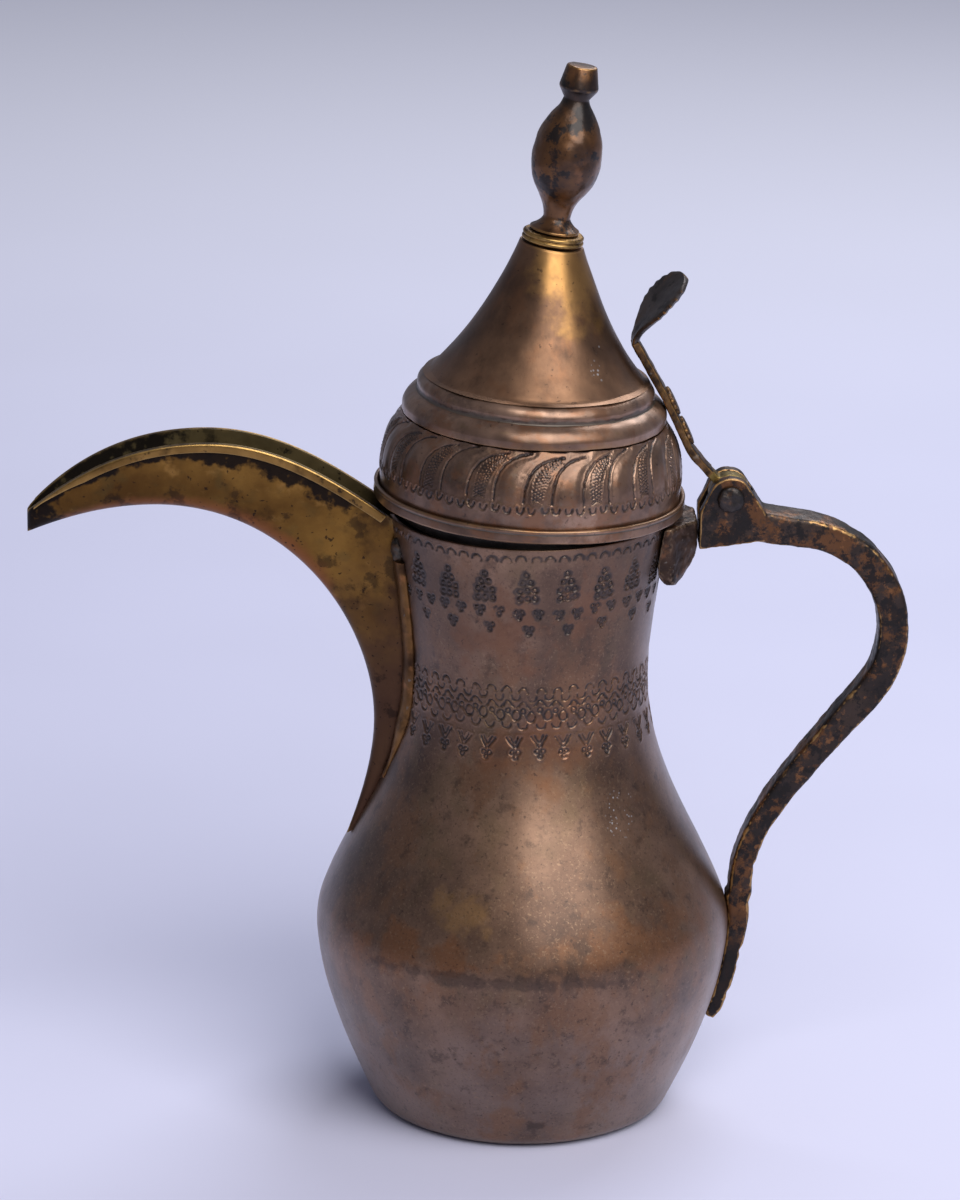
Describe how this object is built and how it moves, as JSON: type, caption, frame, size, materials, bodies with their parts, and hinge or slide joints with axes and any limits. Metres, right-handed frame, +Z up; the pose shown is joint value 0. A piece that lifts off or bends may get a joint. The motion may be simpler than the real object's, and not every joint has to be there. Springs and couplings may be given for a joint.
{
  "type": "hinged-lid coffee pot",
  "caption": "Waisted brass coffee pot with a long open beak spout, S-shaped handle, and a stepped conical lid with a finial that hinges at the handle.",
  "frame": {"origin": "centre of the base disc's underside, where the pot stands", "axes": "+Z up through the neck, -X along the spout, +X towards the handle, +Y away from the side shown in the picture"},
  "size_m": [0.2608, 0.1246, 0.3199],
  "materials": {
    "aged_brass": "satin, dark brown patina with warm mottling",
    "golden_brass": "satin, yellower and more worn",
    "blackened_brass": "blackened casting with worn edges",
    "grey_metal": "dull grey, tinned or covered with solder"
  },
  "bodies": {
    "pot": {"base_disc": "aged_brass", "lower_bowl": "aged_brass", "upper_body": "aged_brass", "spout_trough": "golden_brass", "spout_lip_near": "golden_brass", "spout_lip_far": "golden_brass", "spout_root_bead_near": "golden_brass", "spout_root_bead_far": "golden_brass", "spout_corner_solder_near": "grey_metal", "spout_corner_solder_far": "grey_metal", "handle_casting": "blackened_brass", "handle_saddle": "grey_metal", "hinge_pin": "blackened_brass"},
    "lid": {"lid_band": "aged_brass", "lid_sleeve": "grey_metal", "lid_dome": "aged_brass", "lid_cone": "aged_brass", "lid_strap": "golden_brass", "hinge_knuckle": "golden_brass", "strap_leaf_lower": "golden_brass", "strap_leaf_upper": "golden_brass", "thumb_tab": "blackened_brass", "finial_collar": "golden_brass", "finial_knob": "aged_brass", "finial_rove": "grey_metal"}
  },
  "joints": [
    {"name": "lid_hinge", "type": "hinge", "parent": "pot", "child": "lid", "pos_m": [0.0589, 0, 0.1904], "axis": [0, 1, 0], "range_deg": [0, 105]}
  ]
}
